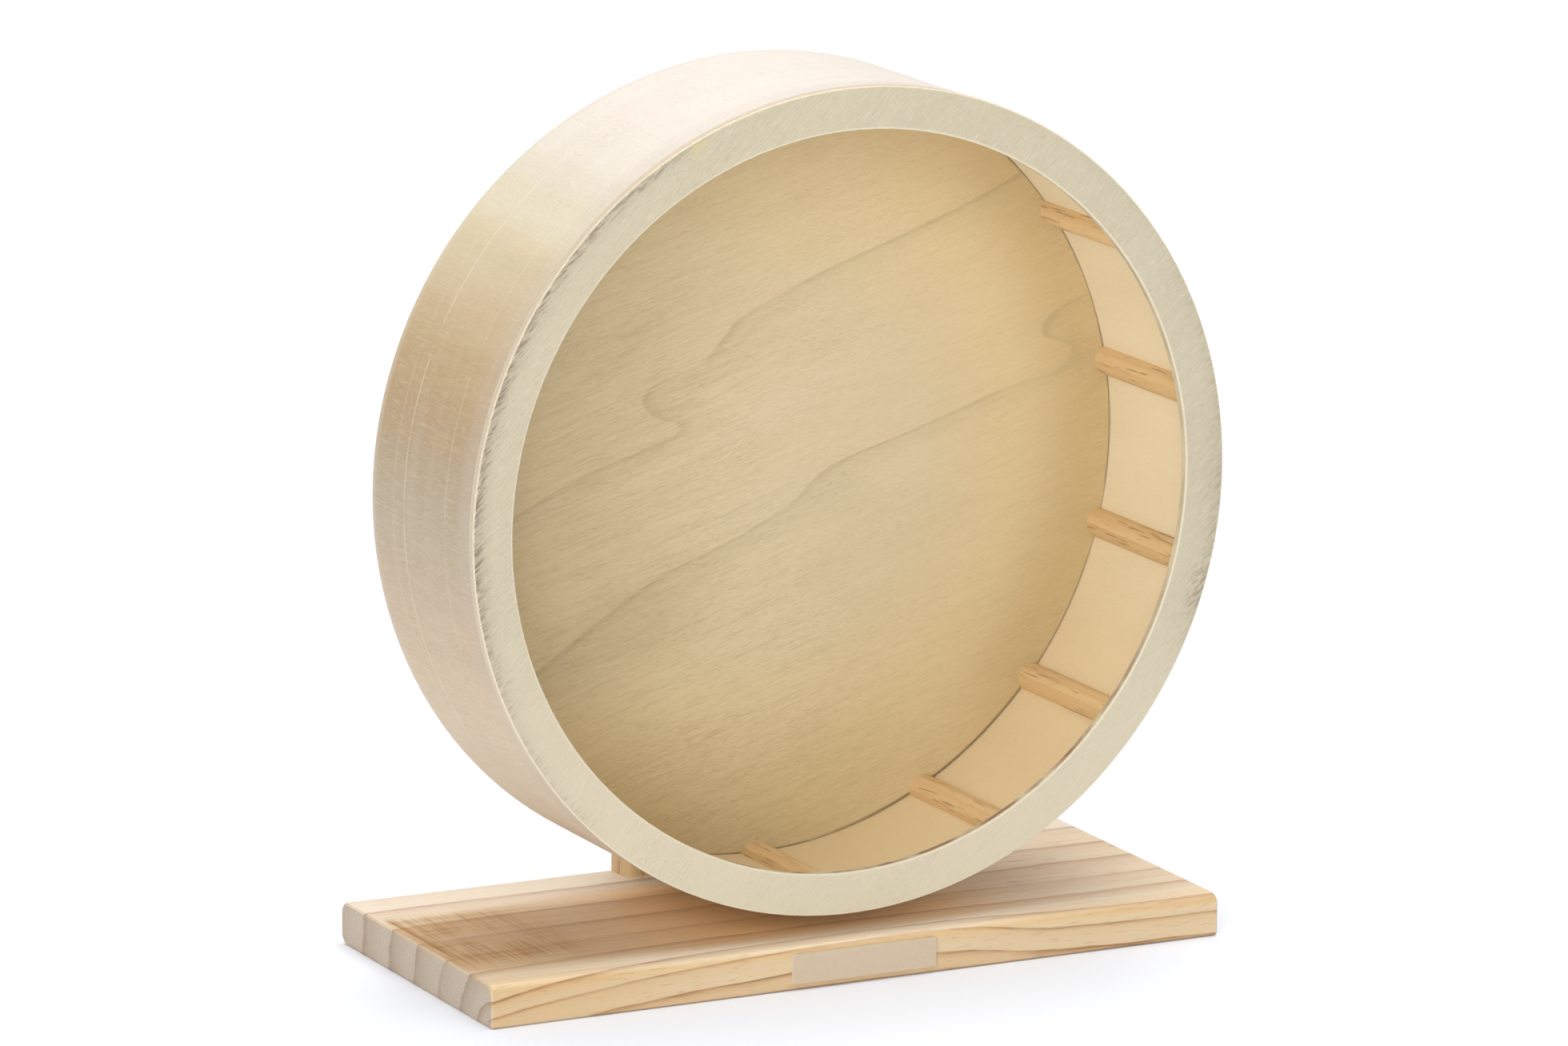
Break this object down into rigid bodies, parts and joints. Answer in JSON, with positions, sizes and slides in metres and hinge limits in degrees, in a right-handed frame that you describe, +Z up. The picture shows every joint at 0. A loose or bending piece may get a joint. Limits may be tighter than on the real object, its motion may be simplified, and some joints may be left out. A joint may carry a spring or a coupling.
{
  "type": "rodent exercise wheel",
  "caption": "Free-standing wooden running wheel for a small rodent: an open-fronted plywood drum with half-round rungs, turning on a bearing axle held by a pine upright and base.",
  "frame": {"origin": "middle of the base board's underside", "axes": "+Z up, the drum's open front faces -Y, +X to the right as seen from the front"},
  "size_m": [0.2908, 0.1368, 0.3129],
  "materials": {
    "pine_board": "planed pine, bare",
    "band_veneer": "poplar plywood, sanded",
    "ring_veneer": "poplar plywood, sanded",
    "disc_veneer": "poplar plywood, sanded",
    "rung_pine": "pine moulding, bare",
    "hub_beech": "turned beech, bare",
    "label_card": "matt beige, unprinted",
    "zinc_steel": "zinc plated",
    "bearing_steel": "ground",
    "nylon": "natural nylon"
  },
  "bodies": {
    "stand": {"base_board": "pine_board", "label_plate": "label_card", "upright_board": "pine_board", "base_screws": "zinc_steel", "front_outer_race": "bearing_steel", "front_shields": "bearing_steel", "rear_outer_race": "bearing_steel", "rear_shields": "bearing_steel"},
    "wheel": {"outer_band": "band_veneer", "front_ring": "ring_veneer", "back_disc": "disc_veneer", "rung_01": "rung_pine", "rung_02": "rung_pine", "rung_03": "rung_pine", "rung_04": "rung_pine", "rung_05": "rung_pine", "rung_06": "rung_pine", "rung_07": "rung_pine", "rung_08": "rung_pine", "rung_09": "rung_pine", "rung_10": "rung_pine", "rung_11": "rung_pine", "rung_12": "rung_pine", "rung_13": "rung_pine", "rung_14": "rung_pine", "hub_block": "hub_beech", "hub_screws": "zinc_steel", "axle_bolt": "zinc_steel", "hub_spacer": "zinc_steel", "front_inner_race": "bearing_steel", "race_spacer": "zinc_steel", "rear_inner_race": "bearing_steel", "end_washer": "zinc_steel", "lock_nut": "zinc_steel", "nut_insert": "nylon"},
    "front_cage_and_balls": {"front_cage": "nylon", "front_balls": "bearing_steel"},
    "rear_cage_and_balls": {"rear_cage": "nylon", "rear_balls": "bearing_steel"}
  },
  "joints": [
    {"name": "wheel_spin", "type": "hinge", "parent": "stand", "child": "wheel", "pos_m": [0, 0.054, 0.1675], "axis": [0, 1, 0], "continuous": true},
    {"name": "front_cage_spin", "type": "hinge", "parent": "stand", "child": "front_cage_and_balls", "pos_m": [0, 0.054, 0.1675], "axis": [0, 1, 0], "continuous": true},
    {"name": "rear_cage_spin", "type": "hinge", "parent": "stand", "child": "rear_cage_and_balls", "pos_m": [0, 0.054, 0.1675], "axis": [0, 1, 0], "continuous": true}
  ],
  "couplings": [
    {"joint": "front_cage_spin", "follows": "wheel_spin", "ratio": 0.3677},
    {"joint": "rear_cage_spin", "follows": "wheel_spin", "ratio": 0.3677}
  ]
}
